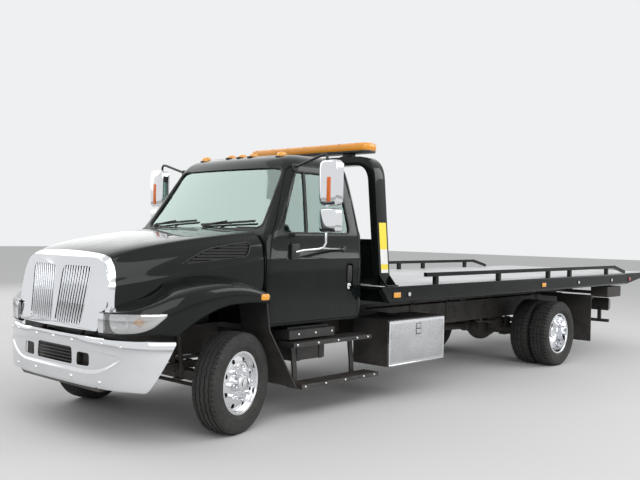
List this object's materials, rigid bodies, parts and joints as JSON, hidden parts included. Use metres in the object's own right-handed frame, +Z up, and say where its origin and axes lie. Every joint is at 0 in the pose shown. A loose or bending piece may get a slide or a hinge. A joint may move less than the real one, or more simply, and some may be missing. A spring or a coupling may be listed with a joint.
{
  "type": "flatbed tow truck",
  "caption": "Conventional-cab truck with a flat recovery deck that tilts and slides on a sub-frame, an arched headboard and a winch.",
  "frame": {"origin": "on the ground, in the middle of the whole truck's length and width", "axes": "+X forward, +Y to the truck's left, +Z up"},
  "size_m": [9.48, 2.72, 2.6002],
  "materials": {
    "black_paint": "gloss",
    "chassis_black": "satin",
    "engine_iron": "rough",
    "chrome_trim": "mirror",
    "polished_aluminium": "polished",
    "brushed_aluminium": "brushed",
    "window_glass": "clear",
    "lamp_lens": "gloss",
    "amber_lens": "gloss",
    "rubber_black": "matte",
    "tyre_rubber": "matte",
    "cab_trim": "grained",
    "seat_cloth": "woven"
  },
  "bodies": {
    "chassis": {"ladder_frame": "chassis_black", "front_bumper": "chrome_trim", "engine": "engine_iron", "radiator": "engine_iron", "drive_line": "chassis_black", "front_axle": "chassis_black", "rear_axle": "chassis_black", "leaf_springs": "chassis_black", "cab_shell": "black_paint", "cab_glass": "window_glass", "dashboard": "cab_trim", "seats": "seat_cloth", "cab_steps": "chassis_black", "battery_box": "chassis_black", "fuel_tank": "polished_aluminium", "toolboxes": "brushed_aluminium", "mudflaps": "rubber_black", "exhaust": "chassis_black", "roof_lamps": "amber_lens", "rear_guard": "chassis_black"},
    "tilting_hood": {"hood": "black_paint", "headlamps": "lamp_lens", "grille_surround": "chrome_trim", "grille_bars": "chrome_trim"},
    "left_door": {"door_left": "black_paint", "door_glass_left": "window_glass", "mirror_left": "chrome_trim"},
    "right_door": {"door_right": "black_paint", "door_glass_right": "window_glass", "mirror_right": "chrome_trim"},
    "left_toolbox_door": {"toolbox_door_left": "brushed_aluminium"},
    "right_toolbox_door": {"toolbox_door_right": "brushed_aluminium"},
    "left_knuckle": {"knuckle_left": "chassis_black"},
    "right_knuckle": {"knuckle_right": "chassis_black"},
    "steering_link": {"tie_rod": "chassis_black"},
    "front_left_wheel": {"tyre_front_left": "tyre_rubber", "wheel_front_left": "polished_aluminium"},
    "front_right_wheel": {"tyre_front_right": "tyre_rubber", "wheel_front_right": "polished_aluminium"},
    "rear_left_wheels": {"tyres_rear_left": "tyre_rubber", "wheels_rear_left": "polished_aluminium"},
    "rear_right_wheels": {"tyres_rear_right": "tyre_rubber", "wheels_rear_right": "polished_aluminium"},
    "tilting_frame": {"tilt_frame": "chassis_black", "slide_barrel": "chassis_black"},
    "bed": {"deck": "chassis_black", "side_rails": "chassis_black", "headboard": "chassis_black", "light_bar": "amber_lens", "winch": "chassis_black", "deck_lamps": "amber_lens", "slide_rod": "chrome_trim"},
    "lift_barrels": {"tilt_barrels": "chassis_black"},
    "lift_rods": {"tilt_rods": "chrome_trim"}
  },
  "joints": [
    {"name": "hood_tilt", "type": "hinge", "parent": "chassis", "child": "tilting_hood", "pos_m": [4.69, 0, 0.8], "axis": [0, 1, 0], "range_deg": [0, 60]},
    {"name": "left_door_hinge", "type": "hinge", "parent": "chassis", "child": "left_door", "pos_m": [3.271, 0.998, 1.3], "axis": [0, 0, -1], "range_deg": [0, 70]},
    {"name": "right_door_hinge", "type": "hinge", "parent": "chassis", "child": "right_door", "pos_m": [3.271, -0.998, 1.3], "axis": [0, 0, 1], "range_deg": [0, 70]},
    {"name": "left_toolbox_drop", "type": "hinge", "parent": "chassis", "child": "left_toolbox_door", "pos_m": [1.337, 1.191, 0.376], "axis": [-1, 0, 0], "range_deg": [0, 90]},
    {"name": "right_toolbox_drop", "type": "hinge", "parent": "chassis", "child": "right_toolbox_door", "pos_m": [1.337, -1.191, 0.376], "axis": [1, 0, 0], "range_deg": [0, 90]},
    {"name": "left_steering", "type": "hinge", "parent": "chassis", "child": "left_knuckle", "pos_m": [3.705, 0.86, 0.42], "axis": [0, 0, 1], "range_deg": [-55, 25]},
    {"name": "right_steering", "type": "hinge", "parent": "chassis", "child": "right_knuckle", "pos_m": [3.705, -0.86, 0.42], "axis": [0, 0, 1], "range_deg": [-55, 25]},
    {"name": "tie_rod_turn", "type": "hinge", "parent": "left_knuckle", "child": "steering_link", "pos_m": [3.52147, 0.81082, 0.325], "axis": [0, 0, 1], "range_deg": [-25, 55]},
    {"name": "front_left_spin", "type": "hinge", "parent": "left_knuckle", "child": "front_left_wheel", "pos_m": [3.66877, 0.99523, 0.42], "axis": [-0.2588, 0.9659, 0], "continuous": true},
    {"name": "front_right_spin", "type": "hinge", "parent": "right_knuckle", "child": "front_right_wheel", "pos_m": [3.74124, -0.99523, 0.42], "axis": [-0.2588, 0.9659, 0], "continuous": true},
    {"name": "rear_left_spin", "type": "hinge", "parent": "chassis", "child": "rear_left_wheels", "pos_m": [-1.805, 0.955, 0.42], "axis": [0, 1, 0], "continuous": true},
    {"name": "rear_right_spin", "type": "hinge", "parent": "chassis", "child": "rear_right_wheels", "pos_m": [-1.805, -0.955, 0.42], "axis": [0, 1, 0], "continuous": true},
    {"name": "bed_tilt", "type": "hinge", "parent": "chassis", "child": "tilting_frame", "pos_m": [-3.345, 0, 0.8], "axis": [0, -1, 0], "range_deg": [0, 12]},
    {"name": "bed_slide", "type": "slide", "parent": "tilting_frame", "child": "bed", "axis": [-1, 0, 0], "range_m": [0, 3.7]},
    {"name": "lift_barrel_swing", "type": "hinge", "parent": "chassis", "child": "lift_barrels", "pos_m": [-1.045, 0, 0.66], "axis": [0, -1, 0], "range_deg": [0, 40]},
    {"name": "lift_rod_extend", "type": "slide", "parent": "lift_barrels", "child": "lift_rods", "axis": [0.969, 0, 0.2471], "range_m": [0, 0.32]}
  ],
  "couplings": [
    {"joint": "right_steering", "follows": "left_steering", "ratio": 1},
    {"joint": "tie_rod_turn", "follows": "left_steering", "ratio": -1},
    {"joint": "lift_barrel_swing", "follows": "bed_tilt", "ratio": 2.6476},
    {"joint": "lift_rod_extend", "follows": "bed_tilt", "m_per_rad": 1.2945}
  ]
}
